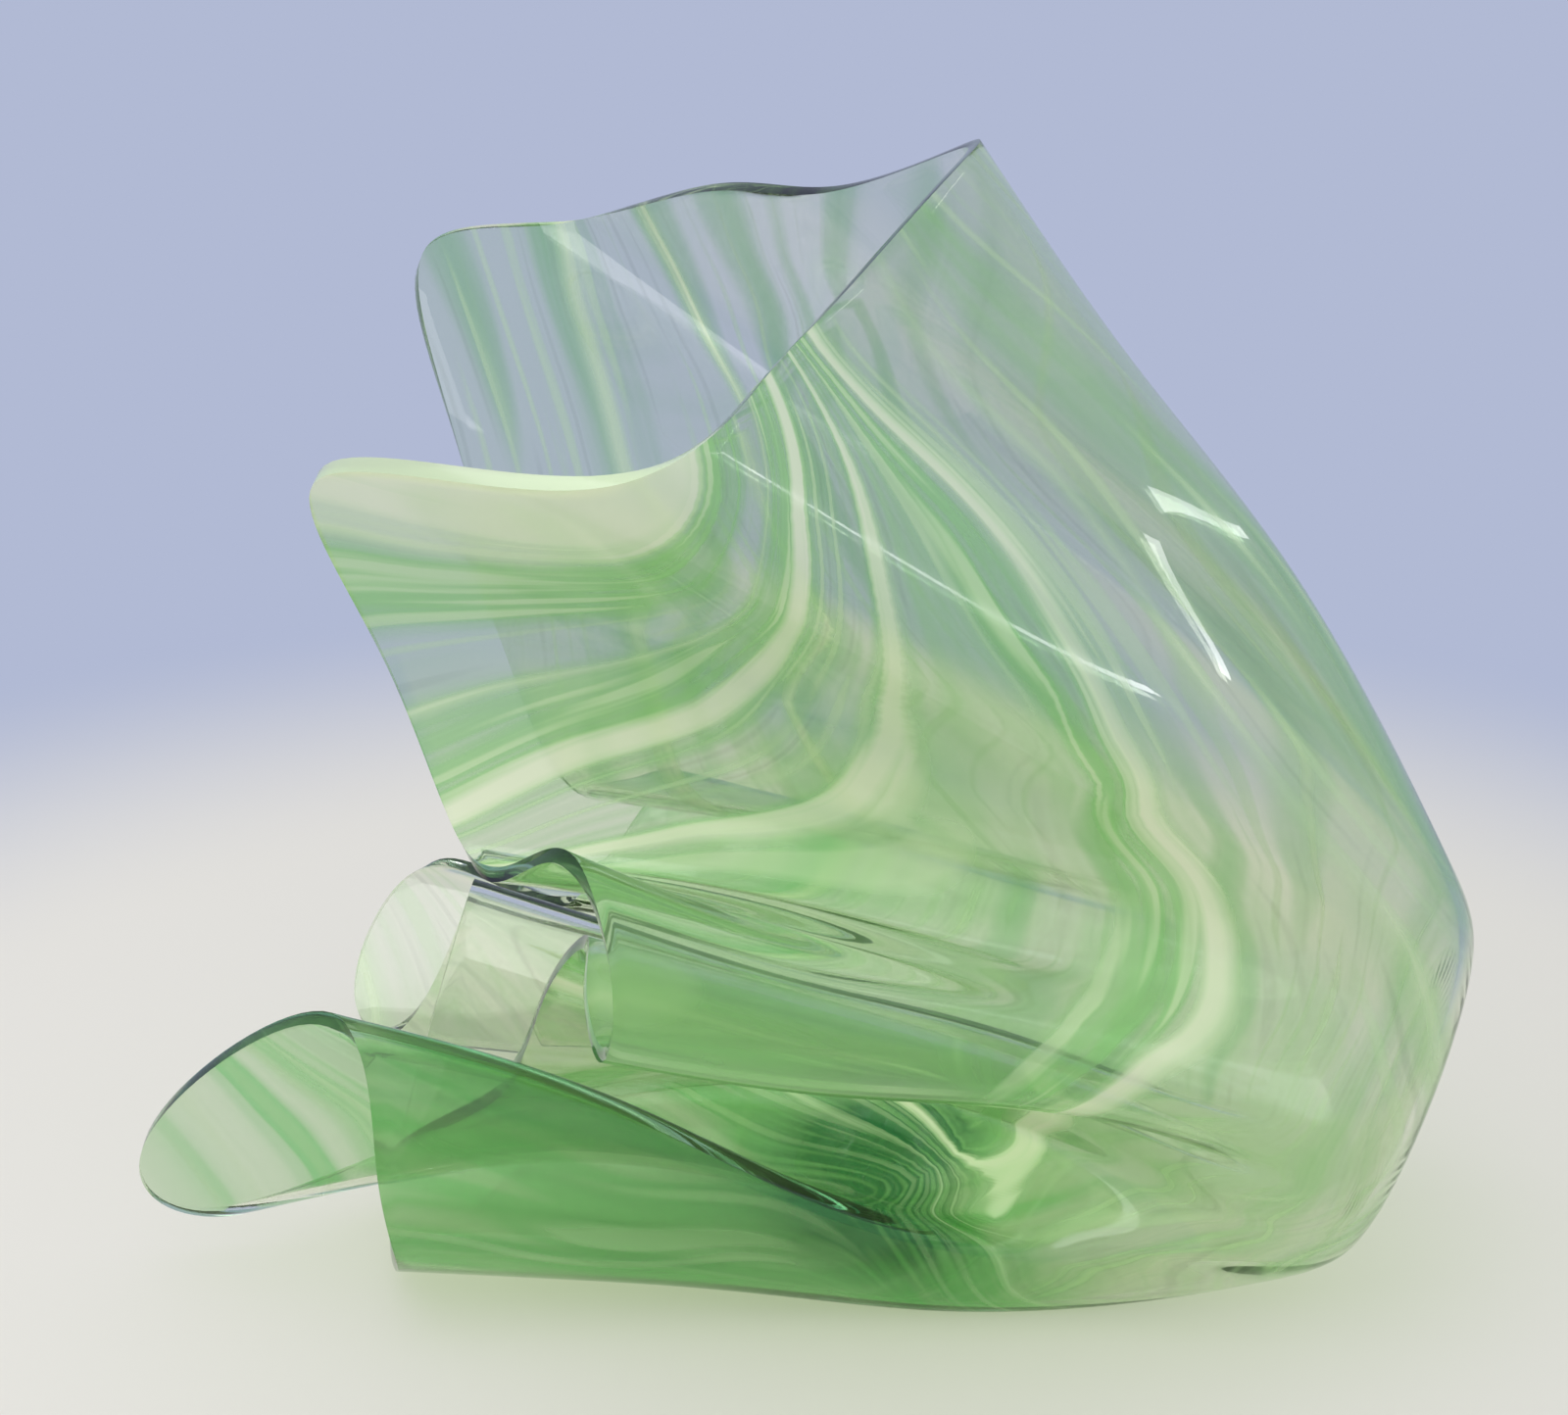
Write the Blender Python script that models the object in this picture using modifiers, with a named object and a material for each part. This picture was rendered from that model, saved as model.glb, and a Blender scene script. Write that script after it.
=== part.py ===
"""Handkerchief vase: one square sheet of streaked glass that sagged over a round post and kept its folds.

The sheet is modelled standing on its foot, then laid on its side with the mouth to the left.
Sizes are in millimetres and become metres at the end.
"""
from math import atan2, cos, radians, sin

import bmesh
import bpy
from mathutils import Matrix, Vector

# Glass
GLASS_THICKNESS = 2.8

# Foot: the part of the sheet that stayed flat on the post, and the heel where it bends into the wall
FOOT_FLAT_RADIUS = 24.0
FOOT_EDGE_RADIUS = 36.0
HEEL_RADIUS = 50.0
HEEL_HEIGHT = 13.0

# Wall: two rings between heel and rim, each at a share of the way up
LOWER_RING_SHARE = 0.36
UPPER_RING_SHARE = 0.70

# How the vase lies: its axis rises from the table and turns away from the viewer
AXIS_RISE_DEGREES = 17.0
AXIS_TURN_DEGREES = 16.0

# The rim, seen into the mouth: x towards the near side, y upwards, z from the foot to the mouth.
# The last two numbers are the belly of the wall below that point, at its lower and its upper ring:
# how far it swells outwards.
# Each side of the square runs from one corner up to the next, one row for each crest or hollow.
TOP_SIDE = (
    (-11, 95, 271, 3, 0),       # far top corner, the longest tip
    (-68, 88, 248, 6, 1),       # far top lobe, widest
    (-35, 125, 205, 9, 1),
    (-4, 131, 176, 10, 0),
    (-6, 158, 147, 10, 0),      # crown of the top lobe, where the side comes nearest the foot
    (27, 156, 147, 9, 0),
    (54, 123, 159, 7, 0),
    (94, 126, 156, 4, 0),
    (140, 109, 157, 1, -1),     # shoulder of the near flap
)
NEAR_SIDE = (
    (108, 90, 241, -1, -1),     # near top corner, the tip of the near flap
    (87, 49, 207, -3, 0),
    (94, 4, 178, -4, 1),        # trough beside the pocket
    (111, 47, 164, -5, 2),      # crest of the pocket
    (115, 16, 143, -8, 2),
    (104, -9, 145, -10, 2),     # bottom of the pocket
    (88, 0, 158, -12, -1),      # ridge behind the pocket
    (69, 2, 162, -14, -7),
    (58, -22, 172, -19, -15),
    (53, -51, 171, -26, -25),   # gutter that runs in under the pocket
    (26, -85, 194, -31, -29),
    (66, -112, 224, -31, -25),  # underside of the spout
)
BOTTOM_SIDE = (
    (70, -99, 256, -8, -12),   # near bottom corner, the tip of the spout
    (80, -13, 201, 20, -2),     # crest of the front lobe
    (86, -67, 187, 20, 3),
    (83, -85, 173, 6, 4),      # front lobe, where it rests on the table
    (36, -116, 200, -18, -4),
    (-7, -9, 208, -26, -5),     # inward fold between the front lobe and the far lobe
    (-25, -111, 215, -17, -1),
)
FAR_SIDE = (
    (-36, -115, 246, -5, 5),    # far bottom corner
    (-89, -78, 250, 3, 10),
    (-21, -60, 185, 6, 10),     # hollow between the far lobes
    (-66, -44, 191, 6, 9),
    (-83, -29, 183, 4, 5),      # far side lobe
    (19, -16, 188, 2, 3),       # inward fold of the far wall
    (15, 62, 227, 1, 1),
)
SIDES = (TOP_SIDE, NEAR_SIDE, BOTTOM_SIDE, FAR_SIDE)
# Where each side of the flat sheet starts, seen from its middle
CORNERS = ((-1, 1), (1, 1), (1, -1), (-1, -1))

# Smoothness of the mesh, and the glass as a material
SMOOTH_LEVELS = 2
GLASS_COLOUR = (0.36, 0.66, 0.34, 1.0)
GLASS_ROUGHNESS = 0.05
GLASS_TRANSMISSION = 0.9
GLASS_IOR = 1.5
MILLIMETRE = 0.001


def clear_scene():
    for old in list(bpy.data.objects):
        bpy.data.objects.remove(old, do_unlink=True)


def rim_points():
    """The places of all rim points in order."""
    return [Vector(point[:3]) for side in SIDES for point in side]


def bellies(ring):
    """The swelling below each rim point, at the lower (0) or the upper (1) ring of the wall."""
    return [point[3 + ring] for side in SIDES for point in side]


def sheet_angles(rim):
    """The direction in which each rim point lay from the middle of the flat square sheet."""
    angles = []
    first = 0
    for side, start, end in zip(SIDES, CORNERS, CORNERS[1:] + CORNERS[:1]):
        last = first + len(side)
        places = [rim[i % len(rim)] for i in range(first, last + 1)]
        steps = [(b - a).length for a, b in zip(places, places[1:])]
        for i in range(len(side)):
            share = sum(steps[:i]) / sum(steps)
            across = start[0] + (end[0] - start[0]) * share
            up = start[1] + (end[1] - start[1]) * share
            angles.append(atan2(up, across))
        first = last
    return angles


def foot_ring(angles, radius, height):
    return [Vector((radius * cos(a), radius * sin(a), height)) for a in angles]


def wall_ring(heel, rim, angles, share, swelling):
    """A ring between heel and rim, pushed outwards by each point's belly."""
    ring = []
    for low, high, angle, belly in zip(heel, rim, angles, swelling):
        outwards = Vector((cos(angle), sin(angle), 0))
        ring.append(low.lerp(high, share) + outwards * belly)
    return ring


def folded_sheet():
    """The cage of the sheet: rings from the foot's flat middle out to the rim."""
    rim = rim_points()
    angles = sheet_angles(rim)
    heel = foot_ring(angles, HEEL_RADIUS, HEEL_HEIGHT)
    rings = [
        foot_ring(angles, FOOT_FLAT_RADIUS, 0.0),
        foot_ring(angles, FOOT_EDGE_RADIUS, 0.0),
        heel,
        wall_ring(heel, rim, angles, LOWER_RING_SHARE, bellies(0)),
        wall_ring(heel, rim, angles, UPPER_RING_SHARE, bellies(1)),
        rim,
    ]
    sheet = bmesh.new()
    rows = [[sheet.verts.new(place) for place in ring] for ring in rings]
    sheet.faces.new(rows[0])
    count = len(rim)
    for inner, outer in zip(rows, rows[1:]):
        for i in range(count):
            j = (i + 1) % count
            sheet.faces.new((inner[i], inner[j], outer[j], outer[i]))
    bmesh.ops.recalc_face_normals(sheet, faces=sheet.faces)
    return sheet


def lay_down(sheet):
    """Turn the standing sheet onto its side, mouth to the left, and scale it to metres."""
    rise = radians(AXIS_RISE_DEGREES)
    turn = radians(AXIS_TURN_DEGREES)
    axis = Vector((-cos(rise) * cos(turn), cos(rise) * sin(turn), sin(rise)))
    up = (Vector((0, 0, 1)) - axis * axis.z).normalized()
    near = up.cross(axis)
    lying = Matrix((near, up, axis)).transposed().to_4x4()
    bmesh.ops.transform(sheet, matrix=Matrix.Scale(MILLIMETRE, 4) @ lying, verts=sheet.verts)


def glass_material():
    glass = bpy.data.materials.new("streaked_glass")
    glass.use_nodes = True
    shader = glass.node_tree.nodes["Principled BSDF"]
    shader.inputs["Base Color"].default_value = GLASS_COLOUR
    shader.inputs["Roughness"].default_value = GLASS_ROUGHNESS
    shader.inputs["Transmission Weight"].default_value = GLASS_TRANSMISSION
    shader.inputs["IOR"].default_value = GLASS_IOR
    return glass


def add_modifiers(vase):
    smooth = vase.modifiers.new("smooth_sheet", "SUBSURF")
    smooth.levels = SMOOTH_LEVELS
    smooth.render_levels = SMOOTH_LEVELS
    wall = vase.modifiers.new("glass_thickness", "SOLIDIFY")
    wall.thickness = GLASS_THICKNESS * MILLIMETRE
    wall.offset = 0.0
    wall.use_even_offset = True
    wall.use_rim = True


def stand_on_table(vase):
    """Put the lowest point at Z 0 and the middle of the outline over the origin."""
    bpy.context.view_layer.update()
    shape = vase.evaluated_get(bpy.context.evaluated_depsgraph_get()).to_mesh()
    corners = [vertex.co for vertex in shape.vertices]
    low = Vector([min(co[k] for co in corners) for k in range(3)])
    high = Vector([max(co[k] for co in corners) for k in range(3)])
    vase.location = (-(low.x + high.x) / 2, -(low.y + high.y) / 2, -low.z)
    vase.evaluated_get(bpy.context.evaluated_depsgraph_get()).to_mesh_clear()


def build_vase():
    sheet = folded_sheet()
    lay_down(sheet)
    mesh = bpy.data.meshes.new("vase")
    sheet.to_mesh(mesh)
    sheet.free()
    mesh.shade_smooth()
    vase = bpy.data.objects.new("vase", mesh)
    vase.data.materials.append(glass_material())
    collection = bpy.data.collections.new("handkerchief_vase")
    bpy.context.scene.collection.children.link(collection)
    collection.objects.link(vase)
    add_modifiers(vase)
    stand_on_table(vase)
    return vase


clear_scene()
build_vase()
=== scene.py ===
from math import atan2, cos, radians, sin

import bmesh
import bpy
import numpy as np
from mathutils import Matrix, Vector


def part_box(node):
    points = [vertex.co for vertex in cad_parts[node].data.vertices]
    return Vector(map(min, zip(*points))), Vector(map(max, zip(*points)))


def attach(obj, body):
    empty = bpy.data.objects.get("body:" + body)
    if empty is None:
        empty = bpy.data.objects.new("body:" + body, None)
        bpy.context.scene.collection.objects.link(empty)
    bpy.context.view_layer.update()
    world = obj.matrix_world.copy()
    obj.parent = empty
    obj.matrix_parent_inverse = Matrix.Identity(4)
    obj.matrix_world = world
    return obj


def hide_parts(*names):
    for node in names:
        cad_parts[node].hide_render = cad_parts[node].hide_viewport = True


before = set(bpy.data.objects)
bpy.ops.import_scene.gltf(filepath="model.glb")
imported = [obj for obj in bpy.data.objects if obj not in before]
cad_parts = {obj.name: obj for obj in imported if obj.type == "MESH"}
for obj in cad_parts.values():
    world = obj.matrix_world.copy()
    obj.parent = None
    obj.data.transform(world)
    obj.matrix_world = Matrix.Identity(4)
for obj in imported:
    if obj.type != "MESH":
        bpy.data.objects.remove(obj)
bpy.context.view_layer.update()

# Camera: a little above the floor, looking down at the vase from the side of its near flap.
CAMERA_PLACE = (-0.00341, -0.49787, 0.30118)
CAMERA_TILT = 70.0
camera_data = bpy.data.cameras.new("camera")
camera_data.sensor_width = 36.0
camera_data.lens = 58.5
camera = bpy.data.objects.new("camera", camera_data)
camera.location = CAMERA_PLACE
camera.rotation_euler = (radians(CAMERA_TILT), 0.0, 0.0)
bpy.context.scene.collection.objects.link(camera)
bpy.context.scene.camera = camera

# The vase: one square sheet of glass with milky pale and green streaks drawn out through it.
# It was laid over a round post in a kiln and sagged into folds, and the heat rounded its edge.
# It lies on its side with the mouth to the left, and nothing is fixed to it.
MM = 0.001
GLASS = 2.8
POLISHED_EDGE = 1.1
AXIS_RISE, AXIS_TURN = 17.0, 16.0
# The rim, seen into the mouth: x towards the near side, y upwards, z from the foot.
# The last two numbers are the belly of the wall below that point, low down and high up.
TOP_SIDE = (
    (-11, 95, 271, 3, 0),
    (-68, 88, 248, 6, 1),
    (-35, 125, 205, 9, 1),
    (-4, 131, 176, 10, 0),
    (-6, 158, 147, 10, 0),
    (27, 156, 147, 9, 0),
    (54, 123, 159, 7, 0),
    (94, 126, 156, 4, 0),
    (140, 109, 157, 1, -1),
)
NEAR_SIDE = (
    (108, 90, 241, -1, -1),
    (87, 49, 207, -3, 0),
    (94, 4, 178, -4, 1),
    (111, 47, 164, -5, 2),
    (115, 16, 143, -8, 2),
    (104, -9, 145, -10, 2),
    (88, 0, 158, -12, -1),
    (69, 2, 162, -14, -7),
    (58, -22, 172, -19, -15),
    (53, -51, 171, -26, -25),
    (26, -85, 194, -31, -29),
    (66, -112, 224, -31, -25),
)
BOTTOM_SIDE = (
    (70, -99, 256, -8, -12),
    (80, -13, 201, 20, -2),
    (86, -67, 187, 20, 3),
    (83, -85, 173, 6, 4),
    (36, -116, 200, -18, -4),
    (-7, -9, 208, -26, -5),
    (-25, -111, 215, -17, -1),
)
FAR_SIDE = (
    (-36, -115, 246, -5, 5),
    (-89, -78, 250, 3, 10),
    (-21, -60, 185, 6, 10),
    (-66, -44, 191, 6, 9),
    (-83, -29, 183, 4, 5),
    (19, -16, 188, 2, 3),
    (15, 62, 227, 1, 1),
)
SIDES = (TOP_SIDE, NEAR_SIDE, BOTTOM_SIDE, FAR_SIDE)
CORNERS = ((-1, 1), (1, 1), (1, -1), (-1, -1))
# Radius and height of the flat middle, the foot and the heel; then the wall's rings, each at a
# share of the way from heel to rim.
FOOT_RINGS = ((24.0, 0.0), (36.0, 0.0), (50.0, 13.0))
WALL_SHARES = (0.36, 0.70)
HALF_SHEET = 205.0
# The ruffle beside the pocket dies out a little way in from the rim: ring, rim point and how far.
RUFFLE = (
    (3, 11, 0.6), (3, 12, 0.6), (4, 11, 0.5), (4, 12, 0.6), (3, 14, 0.5), (3, 15, 0.5), (3, 16, 0.5),
)

rim = [Vector(point[:3]) for side in SIDES for point in side]
bellies = [point[3:] for side in SIDES for point in side]
flat_rim = []
first = 0
for side, start, end in zip(SIDES, CORNERS, CORNERS[1:] + CORNERS[:1]):
    places = [rim[i % len(rim)] for i in range(first, first + len(side) + 1)]
    steps = [(b - a).length for a, b in zip(places, places[1:])]
    for i in range(len(side)):
        share = sum(steps[:i]) / sum(steps)
        flat_rim.append(Vector(start).lerp(Vector(end), share) * HALF_SHEET)
    first += len(side)
angles = [atan2(p.y, p.x) for p in flat_rim]

rows = []
flat_rows = []
for radius, height in FOOT_RINGS:
    rows.append([Vector((radius * cos(a), radius * sin(a), height)) for a in angles])
    flat_rows.append([Vector((radius * cos(a), radius * sin(a))) for a in angles])
for ring, share in enumerate(WALL_SHARES):
    rows.append([
        low.lerp(high, share) + Vector((cos(a), sin(a), 0)) * belly[ring]
        for low, high, belly, a in zip(rows[2], rim, bellies, angles)
    ])
    flat_rows.append([a.lerp(b, share) for a, b in zip(flat_rows[2], flat_rim)])
for row, column, ease in RUFFLE:
    ring = rows[row]
    ring[column] = ring[column].lerp((ring[column - 1] + ring[column + 1]) / 2, ease)
rows.append(rim)
flat_rows.append(flat_rim)

sheet = bmesh.new()
flat_map = sheet.loops.layers.uv.new("sheet")
points = [[sheet.verts.new(place) for place in row] for row in rows]
flat_of = {vert: flat for row, flats in zip(points, flat_rows) for vert, flat in zip(row, flats)}
sheet.faces.new(points[0])
for inner, outer in zip(points, points[1:]):
    for i in range(len(rim)):
        j = (i + 1) % len(rim)
        sheet.faces.new((inner[i], inner[j], outer[j], outer[i]))
for face in sheet.faces:
    face.smooth = True
    for loop in face.loops:
        loop[flat_map].uv = flat_of[loop.vert] / (2 * HALF_SHEET) + Vector((0.5, 0.5))
bmesh.ops.recalc_face_normals(sheet, faces=sheet.faces)

rise, turn = radians(AXIS_RISE), radians(AXIS_TURN)
axis = Vector((-cos(rise) * cos(turn), cos(rise) * sin(turn), sin(rise)))
up = (Vector((0, 0, 1)) - axis * axis.z).normalized()
lying = Matrix((up.cross(axis), up, axis)).transposed().to_4x4()
bmesh.ops.transform(sheet, matrix=Matrix.Scale(MM, 4) @ lying, verts=sheet.verts)
cage = bpy.data.meshes.new("cage")
sheet.to_mesh(cage)
sheet.free()

for name in ("inner_face", "streaked_glass", "edge_of_glass"):
    cage.materials.append(bpy.data.materials.new(name))
vase = bpy.data.objects.new("folded_sheet", cage)
bpy.context.scene.collection.objects.link(vase)
smooth = vase.modifiers.new("smooth", "SUBSURF")
smooth.levels = smooth.render_levels = 4
smooth.uv_smooth = "SMOOTH_ALL"
wall = vase.modifiers.new("wall", "SOLIDIFY")
wall.thickness = GLASS * MM
wall.offset = 0.0
wall.use_even_offset = True
wall.material_offset = 1
wall.material_offset_rim = 2
polish = vase.modifiers.new("fire_polish", "BEVEL")
polish.limit_method = "ANGLE"
polish.angle_limit = radians(55.0)
polish.width = POLISHED_EDGE * MM
polish.segments = 3
bpy.context.view_layer.update()
graph = bpy.context.evaluated_depsgraph_get()
fine = bpy.data.meshes.new_from_object(vase.evaluated_get(graph))
vase.modifiers.clear()
vase.data = fine
fine.name = "folded_sheet"

# It is set down where the solid lies, inside the solid's own box.
low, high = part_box("vase")
count = len(fine.vertices)
co = np.empty(count * 3)
fine.vertices.foreach_get("co", co)
co = co.reshape(-1, 3)
centre = (co.min(0) + co.max(0)) / 2
target = (np.array(low) + np.array(high)) / 2
shrink = min((high[k] - low[k]) / (co[:, k].max() - co[:, k].min()) for k in range(3))
co = (co - centre) * min(1.0, shrink) + target
fine.vertices.foreach_set("co", co.ravel())
fine.update()

# The glass was stirred while hot, so its streaks run along the streamlines of a slow flow.
# Each line below is one streamline of the flat sheet with its number, which grows across the
# flow. Its points say how many millimetres they lie down the near side from the near top corner,
# and how many back from that side. A thin plate bent through them all numbers every other point.
SHEET_SIDE = 430.0
LAST_NUMBER = 460.0
PLATE_SLACK = 30.0
BATCH = 20000
STREAMS = (
    (40, ((8, 98), (18, 82), (28, 60), (32, 40), (30, 20), (24, 3))),
    (70, ((12, 110), (34, 88), (50, 64), (56, 40), (56, 20), (54, 0))),
    (100, ((0, 131), (18, 114), (34, 102), (46, 92), (58, 82), (69, 72), (77, 60), (81, 40),
           (82, 18), (84, 0))),
    (134, ((0, 145), (12, 138), (38, 120), (54, 112), (70, 102), (84, 96), (96, 88), (104, 78),
           (106, 60), (104, 44), (103, 20), (107, 0))),
    (143, ((130, 4), (134, 22), (142, 45), (150, 70), (146, 95), (110, 118), (75, 122))),
    (152, ((0, 148), (40, 144), (75, 140), (100, 138), (135, 134), (155, 126), (172, 116),
           (187, 103), (200, 90), (216, 84), (235, 84), (255, 94), (275, 104), (292, 116))),
    (148, ((204, 55), (205, 15), (240, 40), (250, 10))),
    (165, ((0, 156), (30, 157), (54, 156), (70, 152), (90, 147), (110, 143), (144, 147),
           (160, 142), (176, 132), (190, 118), (200, 107), (212, 98), (230, 97), (258, 112),
           (272, 115), (288, 122), (298, 133))),
    (172, ((200, 150), (240, 146), (264, 144), (284, 138))),
    (180, ((150, 168), (185, 168), (216, 172), (230, 164), (250, 158), (280, 150), (296, 150))),
    (190, ((0, 184), (50, 184), (100, 177), (130, 177), (168, 184), (190, 180))),
    (200, ((222, 178), (236, 170), (256, 174), (268, 190), (262, 200), (240, 206), (225, 195),
           (170, 200))),
    (222, ((240, 188),)),
    (186, ((286, 190), (306, 172), (304, 150))),
    (206, ((320, 152), (313, 130), (302, 118), (318, 92), (322, 60), (305, 30))),
    (215, ((0, 198), (30, 206), (60, 212), (120, 220), (160, 222))),
    (190, ((240, 226), (200, 232))),
    (236, ((340, 172), (380, 168), (420, 158), (300, 210))),
    (222, ((345, 150), (380, 146), (415, 130))),
    (212, ((360, 110), (400, 100), (425, 92))),
    (248, ((428, 44), (412, 38), (392, 28), (378, 10))),
    (262, ((416, 16), (408, 12), (394, 0))),
    (238, ((400, 50), (384, 38), (366, 14))),
    (228, ((420, 64), (400, 62), (350, 20), (340, 60))),
    (290, ((0, 286), (20, 304), (60, 330), (150, 320), (250, 300))),
    (315, ((6, 310), (30, 322), (60, 340))),
    (345, ((0, 342), (24, 348), (48, 356), (140, 372), (250, 350))),
    (380, ((0, 370), (18, 382), (36, 390), (60, 396), (140, 405), (280, 400))),
    (415, ((0, 412), (60, 420), (200, 428))),
    (300, ((430, 340), (390, 345), (350, 380), (345, 430), (330, 260))),
    (330, ((430, 385), (405, 395), (385, 430))),
)
# Painted shade: where several layers of the folded pocket stand behind one another, the glass is
# drawn as denser, darker green. Middle on the flat sheet, reach and strength of each patch.
POCKET_SHADE_PATCHES = (
    (295, 105, 17, 1.0), (312, 95, 18, 0.9), (314, 124, 18, 0.9), (320, 148, 18, 0.8),
    (336, 150, 20, 0.6), (304, 66, 14, 0.2), (350, 140, 22, 0.4), (200, 80, 14, 0.35),
    (380, 150, 34, 0.3), (360, 100, 34, 0.25),
)
flow_points = np.array([place for _, line in STREAMS for place in line], float)
flow_levels = np.array([level for level, line in STREAMS for _ in line], float)


def plate(far):
    """How a thin plate bends at a distance from where it is held."""
    return far ** 2 * np.log(far + 1e-6)


held = len(flow_points)
system = np.zeros((held + 3, held + 3))
system[:held, :held] = plate(np.linalg.norm(flow_points[:, None] - flow_points[None], axis=2))
system[:held, :held] += np.eye(held) * PLATE_SLACK
system[:held, held:] = np.c_[np.ones(held), flow_points]
system[held:, :held] = system[:held, held:].T
weights = np.linalg.solve(system, np.concatenate([flow_levels, np.zeros(3)]))

uv = np.empty(len(fine.loops) * 2)
fine.uv_layers["sheet"].data.foreach_get("uv", uv)
uv = uv.reshape(-1, 2) * SHEET_SIDE
corner_of = np.empty(len(fine.loops), np.int32)
fine.loops.foreach_get("vertex_index", corner_of)
flat = np.zeros((count, 2))
flat[corner_of] = np.clip(SHEET_SIDE - uv[:, ::-1], 0.0, SHEET_SIDE)
level = np.zeros(count)
for begin in range(0, count, BATCH):
    part = flat[begin:begin + BATCH]
    reach = np.linalg.norm(part[:, None] - flow_points[None], axis=2)
    tilt = weights[held] + part @ weights[held + 1:]
    level[begin:begin + BATCH] = plate(reach) @ weights[:held] + tilt
# Painted shade: how deep each point lies in the pocket's painted shade, kept in the flow map's second
# channel.
pocket_shade = np.zeros(count)
for down, back, spread, amount in POCKET_SHADE_PATCHES:
    reach = np.linalg.norm(flat - (down, back), axis=1)
    pocket_shade += amount * np.exp(-(reach / spread) ** 2)
flow = np.stack([level[corner_of] / LAST_NUMBER, pocket_shade[corner_of]], -1)
fine.uv_layers.new(name="flow").data.foreach_set("uv", flow.ravel().astype(np.float32))


class Link:
    """A socket of a node tree; arithmetic on it adds Math nodes."""

    def __init__(self, tree, socket):
        self.tree = tree
        self.socket = socket

    def math(self, operation, *values, clamp=False):
        settings = {"operation": operation, "use_clamp": clamp}
        return node(self.tree, "ShaderNodeMath", settings, (self, *values))

    def __add__(self, other):
        return self.math("ADD", other)

    def __sub__(self, other):
        return self.math("SUBTRACT", other)

    def __rsub__(self, other):
        return node(self.tree, "ShaderNodeMath", {"operation": "SUBTRACT"}, (other, self))

    def __mul__(self, other):
        return self.math("MULTIPLY", other)

    __radd__ = __add__
    __rmul__ = __mul__

    def clamp(self):
        return self.math("ADD", 0.0, clamp=True)

    def step(self, low, high):
        """0 below low, 1 above high, smooth between; the other way round where low is larger."""
        limits = {"Value": self, "From Min": low, "From Max": high}
        return node(self.tree, "ShaderNodeMapRange", {"interpolation_type": "SMOOTHSTEP"}, limits)


def node(tree, kind, settings=(), sockets=(), output=0):
    """A node of the tree: its settings first, then the values or links of its sockets."""
    made = tree.nodes.new(kind)
    for name, value in dict(settings).items():
        if name == "stops":
            ramp = made.color_ramp
            while len(ramp.elements) < len(value):
                ramp.elements.new(0.5)
            for element, (position, colour) in zip(ramp.elements, value):
                element.position = position
                element.color = colour
        else:
            setattr(made, name, value)
    pairs = sockets.items() if isinstance(sockets, dict) else enumerate(sockets)
    for name, value in pairs:
        if isinstance(value, Link):
            tree.links.new(value.socket, made.inputs[name])
        else:
            made.inputs[name].default_value = value
    return Link(tree, made.outputs[output]) if made.outputs else None


def mix_colours(tree, factor, first, second):
    """The first colour where the factor is 0, the second where it is 1."""
    colours = {"Factor": factor, 6: first, 7: second}
    return node(tree, "ShaderNodeMix", {"data_type": "RGBA"}, colours, output=2)


def glass_body(tree, colour, roughness, clearness):
    """Solid glass of one colour, clear at 1 and opal at 0."""
    return node(tree, "ShaderNodeBsdfPrincipled", {}, {
        "Base Color": colour, "Roughness": roughness, "IOR": 1.5, "Transmission Weight": clearness})


def empty_tree(material):
    """The material's node tree with nothing in it yet."""
    material.use_nodes = True
    material.node_tree.nodes.clear()
    return material.node_tree


def finish_glass(tree, body):
    """Rays to a lamp, or from the floor, pass straight through and turn a little greener."""
    shade = node(tree, "ShaderNodeBsdfTransparent", {}, (SHADE,))
    shadow_ray, diffuse_ray = (node(tree, "ShaderNodeLightPath", output=k) for k in (1, 2))
    mixed = ((shadow_ray + diffuse_ray).clamp(), body, shade)
    node(tree, "ShaderNodeOutputMaterial", {}, (node(tree, "ShaderNodeMixShader", {}, mixed),))


# The outer face carries the streaks, and the painted shade of the pocket as denser green. In each
# table a streamline's number comes first, then how pale or how green the glass is there. The lowest
# part of the sheet has its own greens.
CLEAR = (0.83, 0.87, 0.75, 1.0)
GREEN = (0.07, 0.45, 0.085, 1.0)
# Near-black green of the thin dark streaks, also used for the painted shade of the pocket.
DEEP_GREEN_AND_SHADE = (0.002, 0.075, 0.012, 1.0)
PALE_OPAL = (0.88, 0.97, 0.68, 1.0)
GREEN_OPAL = (0.33, 0.71, 0.22, 1.0)
SHADE = (0.895, 0.935, 0.85, 1.0)
PALE_BANDS = (
    (0, 1.0), (36, 1.0), (42, 0.1), (77, 0.05), (79, 0.5), (81, 0.1), (96, 0.1), (98, 1.0),
    (103.5, 1.0), (106.5, 0.1), (131, 0.05), (133, 0.9), (135, 0.85), (137, 0.1), (161, 0.05),
    (163.5, 0.95), (166, 0.9), (169, 0.15), (188, 0.0), (190, 0.5), (192, 0.1), (222, 0.1),
    (236, 0.3), (250, 0.0), (342, 0.0), (345, 0.6), (349, 0.05), (377, 0.05), (380, 0.75),
    (385, 0.1), (460, 0.1),
)
GREEN_BANDS = (
    (0, 0.2), (34, 0.3), (39, 1.0), (52, 1.0), (60, 0.8), (66, 0.05), (75, 0.1), (80, 0.7),
    (92, 0.9), (97, 0.95), (107, 0.8), (113, 0.25), (128, 0.3), (131, 0.7), (140, 0.55),
    (147, 0.5), (150, 0.95), (158, 1.0), (161, 0.6), (170, 0.35), (178, 0.05), (200, 0.0),
    (206, 0.4), (214, 0.4), (218, 0.0), (368, 0.05), (372, 0.5), (378, 0.1), (384, 0.4),
    (392, 0.1), (430, 0.0),
)
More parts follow.
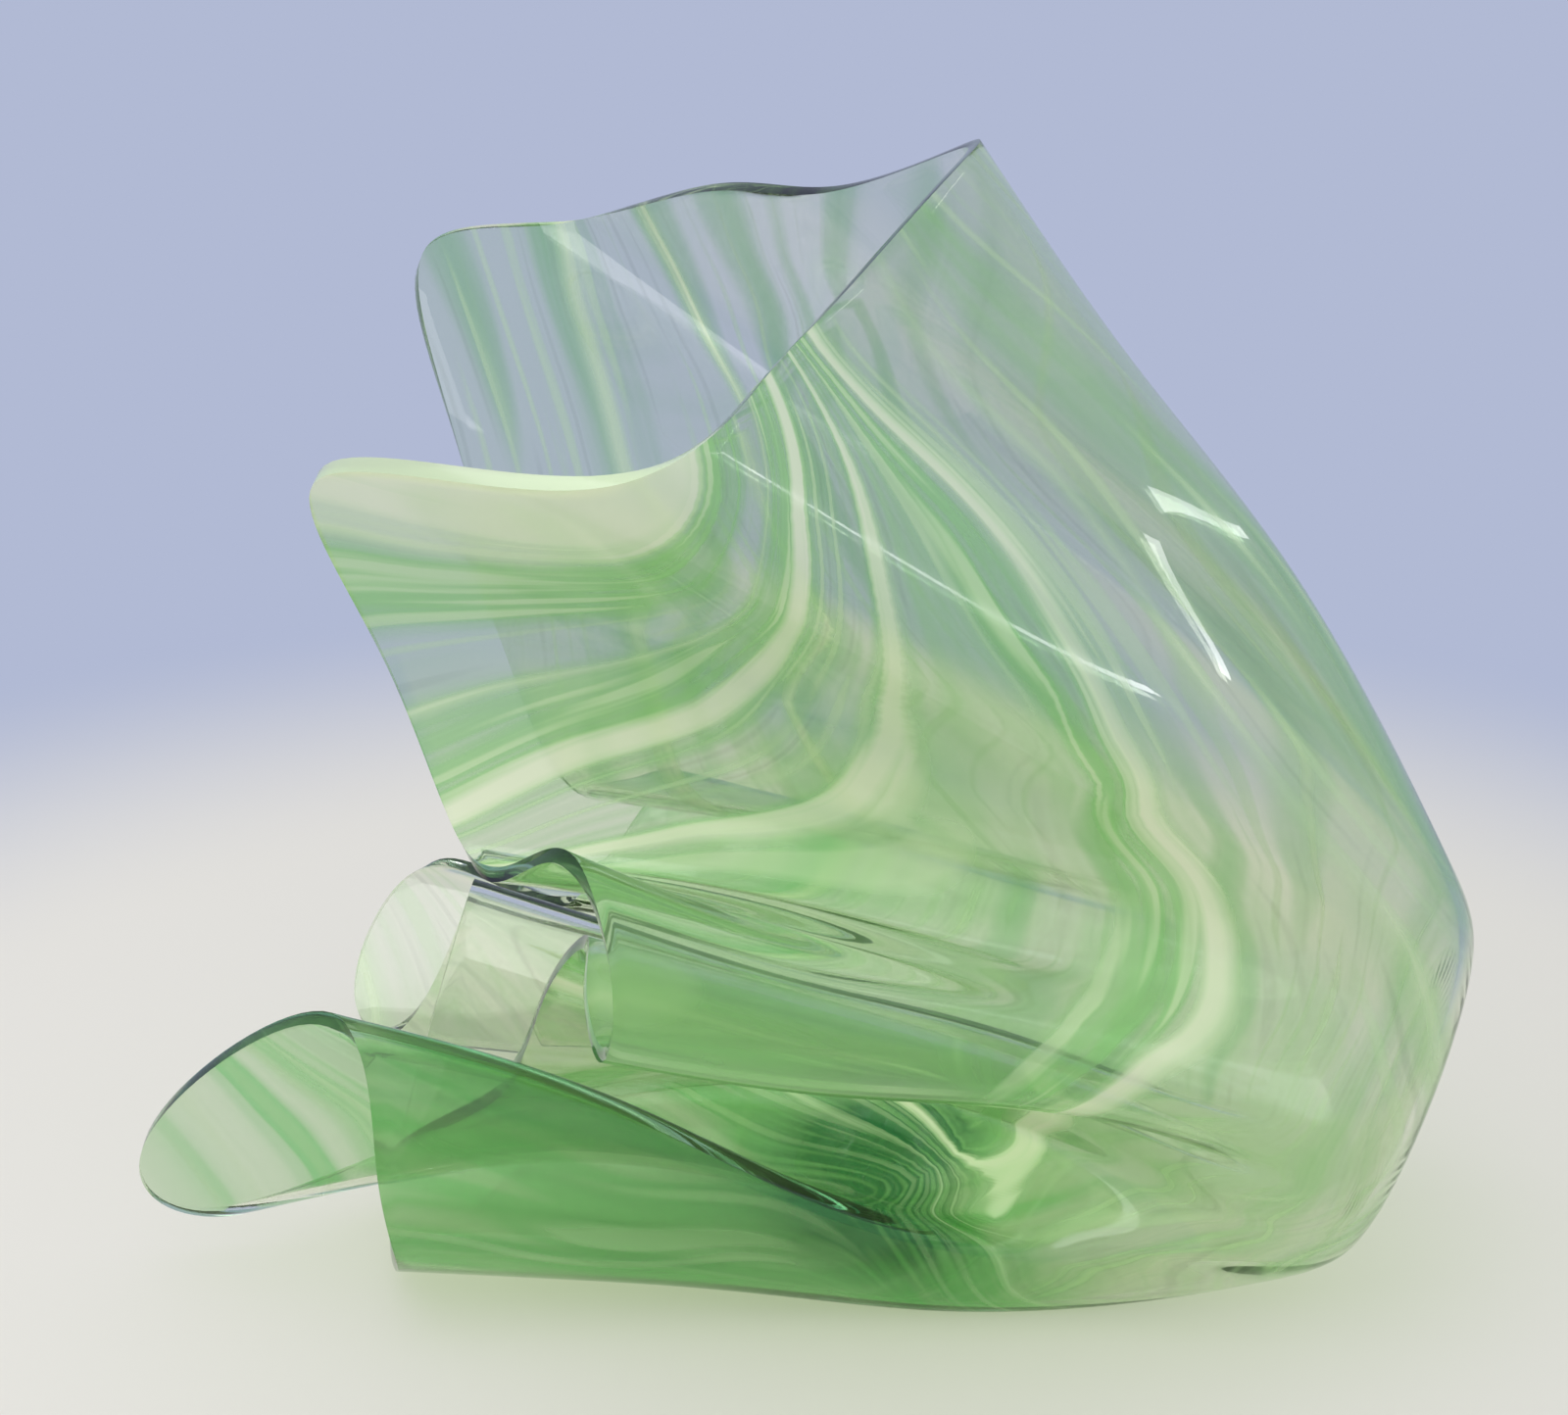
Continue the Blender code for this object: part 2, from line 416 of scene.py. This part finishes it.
LOWER_BANDS = (
    (120, 0.7), (150, 0.8), (180, 0.8), (188, 0.9), (206, 1.0), (213, 0.3), (218, 0.15),
    (222, 0.8), (229, 0.5), (236, 0.8), (240, 0.5), (244, 0.0), (247, 0.9), (250, 0.9),
    (254, 0.1), (260, 0.0), (262, 0.5), (265, 0.0), (290, 0.0), (300, 0.3), (310, 0.0),
    (330, 0.2), (460, 0.0),
)
tree = empty_tree(fine.materials[1])
flow_place = node(tree, "ShaderNodeUVMap", {"uv_map": "flow"})
# The flow map gives the streamline number and the painted shade of the pocket.
across, painted_pocket_shade = (node(tree, "ShaderNodeSeparateXYZ", {}, (flow_place,), output=k) for k in (0, 1))
sheet_place = node(tree, "ShaderNodeUVMap", {"uv_map": "sheet"})
sheet_x, sheet_y = (node(tree, "ShaderNodeSeparateXYZ", {}, (sheet_place,), output=k) for k in (0, 1))
slant = sheet_x * 0.8 - sheet_y
lowest = sheet_y.step(0.33, 0.25)
front_lobe = lowest * sheet_x.step(0.42, 0.58)
far_wall = across.step(0.46, 0.56) * (1.0 - lowest)


def drawn_noise(lines, spots, detail=0.0, shift=0.0):
    """Noise drawn out along the flow: lines across the whole flow, spots along the sheet."""
    spot = node(tree, "ShaderNodeCombineXYZ", {}, (across * lines + shift, slant * spots, 0.0))
    noise = {"Vector": spot, "Scale": 1.0, "Detail": detail}
    return node(tree, "ShaderNodeTexNoise", {"noise_dimensions": "2D"}, noise)


def bands(table, number):
    """The table's amount at each streamline number."""
    stops = [(place / LAST_NUMBER, (amount, amount, amount, 1.0)) for place, amount in table]
    return node(tree, "ShaderNodeValToRGB", {"stops": stops}, (number,))


wander = (drawn_noise(6.0, 7.0) - 0.5) * 0.012
fine_lines = drawn_noise(110.0, 4.0, 1.5)
broad_lines = drawn_noise(34.0, 4.5, 0.5, 7.0)
bent = across + wander
pale = bands(PALE_BANDS, bent) * (broad_lines.step(0.25, 0.55) * 0.3 + 0.7)
pale = (pale + fine_lines.step(0.56, 0.7) * (0.34 - lowest * 0.16)).clamp()
green = bands(GREEN_BANDS, bent) * (1.0 - lowest) + bands(LOWER_BANDS, bent) * lowest
green = green * (fine_lines.step(0.3, 0.6) * 0.5 + 0.5) + broad_lines.step(0.6, 0.85) * 0.25
green = green + far_wall * broad_lines.step(0.5, 0.66) * 0.5
# Painted shade: the pocket's painted shade makes the glass greener here.
green = (green + painted_pocket_shade * 0.6 + front_lobe * 0.4).clamp()
# Painted shade of the pocket, broken up by the fine lines, plus real thin dark streaks: it darkens
# the tint and takes milkiness away.
shade_and_dark_streaks = painted_pocket_shade * (fine_lines.step(0.3, 0.6) * 0.5 + 0.5)
shade_and_dark_streaks = (shade_and_dark_streaks + fine_lines.step(0.35, 0.25) * 0.2).clamp()
milkiness = (pale * 0.97 + green * (1.0 - shade_and_dark_streaks) * (0.7 - (lowest + far_wall) * 0.55)).clamp()
tint = mix_colours(tree, shade_and_dark_streaks, mix_colours(tree, green, CLEAR, GREEN), DEEP_GREEN_AND_SHADE)
clear_glass = glass_body(tree, tint, 0.0, 1.0)
opal_glass = glass_body(tree, mix_colours(tree, pale, GREEN_OPAL, PALE_OPAL), 0.15, 0.4)
finish_glass(tree, node(tree, "ShaderNodeMixShader", {}, (milkiness, clear_glass, opal_glass)))

# The inner face is plain clear glass.
INNER = (0.95, 0.955, 0.90, 1.0)
tree = empty_tree(fine.materials[0])
finish_glass(tree, glass_body(tree, INNER, 0.0, 1.0))

# The edge is dark green, because light has run a long way along the sheet before it comes out
# there. It is pale at the opal corner and clearer along the far side.
EDGE = (0.20, 0.48, 0.28, 1.0)
PALE_EDGE = (0.74, 0.87, 0.60, 1.0)
tree = empty_tree(fine.materials[2])
flow_place = node(tree, "ShaderNodeUVMap", {"uv_map": "flow"})
number = node(tree, "ShaderNodeSeparateXYZ", {}, (flow_place,))
dark_edge = glass_body(tree, mix_colours(tree, number.step(0.56, 0.64), EDGE, CLEAR), 0.05, 1.0)
pale_edge = glass_body(tree, PALE_EDGE, 0.15, 0.3)
at_corner = number.step(0.14, 0.09)
finish_glass(tree, node(tree, "ShaderNodeMixShader", {}, (at_corner, dark_edge, pale_edge)))
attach(vase, "root")
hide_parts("vase")

# Floor: a plain pale floor that gives way to a soft blue distance all round the vase.
# The blue is only seen, in the glass too, and lights nothing.
FLOOR_HALF = 6.0
FLOOR_DROP = 0.0003
FLOOR_PAINT = (0.78, 0.75, 0.70, 1.0)
DISTANCE = (0.44, 0.49, 0.66, 1.0)
DISTANCE_STARTS, DISTANCE_FULL = 0.24, 0.46
floor_mesh = bpy.data.meshes.new("floor")
ground = bmesh.new()
bmesh.ops.create_grid(ground, x_segments=1, y_segments=1, size=FLOOR_HALF)
ground.to_mesh(floor_mesh)
ground.free()
floor = bpy.data.objects.new("floor", floor_mesh)
floor.location.z = -FLOOR_DROP
bpy.context.scene.collection.objects.link(floor)
floor_paint = bpy.data.materials.new("floor_paint")
tree = empty_tree(floor_paint)


def seen_rays(tree):
    """1 for rays from the camera, or by way of a reflection or the glass."""
    return sum(node(tree, "ShaderNodeLightPath", output=k) for k in (0, 3, 6)).clamp()


spot = node(tree, "ShaderNodeTexCoord", output=3)
far_off = node(tree, "ShaderNodeVectorMath", {"operation": "LENGTH"}, (spot,), output=1)
paint = node(tree, "ShaderNodeBsdfPrincipled", {}, {"Base Color": FLOOR_PAINT, "Roughness": 0.7})
distance = node(tree, "ShaderNodeEmission", {}, {"Color": DISTANCE, "Strength": 1.0})
fade = far_off.step(DISTANCE_STARTS, DISTANCE_FULL) * seen_rays(tree)
surface = node(tree, "ShaderNodeMixShader", {}, (fade, paint, distance))
node(tree, "ShaderNodeOutputMaterial", {}, (surface,))
floor_mesh.materials.append(floor_paint)

# Light: soft daylight from all round, a broad lamp overhead and a long narrow one on the right.
# Each lamp has its place, what it is aimed at, the direction of its long side, size and watts.
DAYLIGHT = (0.93, 0.96, 1.0, 1.0)
LAMPS = (
    ("overhead", (-0.4, -0.4, 1.3), (0.0, 0.0, 0.1), (1.0, 0.0, 0.0), (1.5, 1.5), 12.5),
    ("strip", (1.05, 0.105, 0.616), (0.06, -0.03, 0.16), (0.0, 0.92, -0.25), (0.7, 0.02), 0.34),
)
world = bpy.data.worlds.new("daylight")
bpy.context.scene.world = world
world.cycles.sampling_method = "NONE"
tree = empty_tree(world)
daylight = node(tree, "ShaderNodeBackground", {}, {"Color": DAYLIGHT, "Strength": 0.62})
distance = node(tree, "ShaderNodeBackground", {}, {"Color": DISTANCE, "Strength": 1.0})
sky = node(tree, "ShaderNodeMixShader", {}, (seen_rays(tree), daylight, distance))
node(tree, "ShaderNodeOutputWorld", {}, (sky,))
for name, place, aim, along, size, power in LAMPS:
    lamp_data = bpy.data.lights.new(name, "AREA")
    lamp_data.shape = "RECTANGLE"
    lamp_data.size, lamp_data.size_y = size
    lamp_data.energy = power
    lamp = bpy.data.objects.new(name, lamp_data)
    lamp.location = place
    back = (Vector(place) - Vector(aim)).normalized()
    side = (Vector(along) - back * back.dot(along)).normalized()
    lamp.rotation_euler = Matrix((side, back.cross(side), back)).transposed().to_euler()
    bpy.context.scene.collection.objects.link(lamp)

bpy.context.scene.view_settings.view_transform = "Standard"
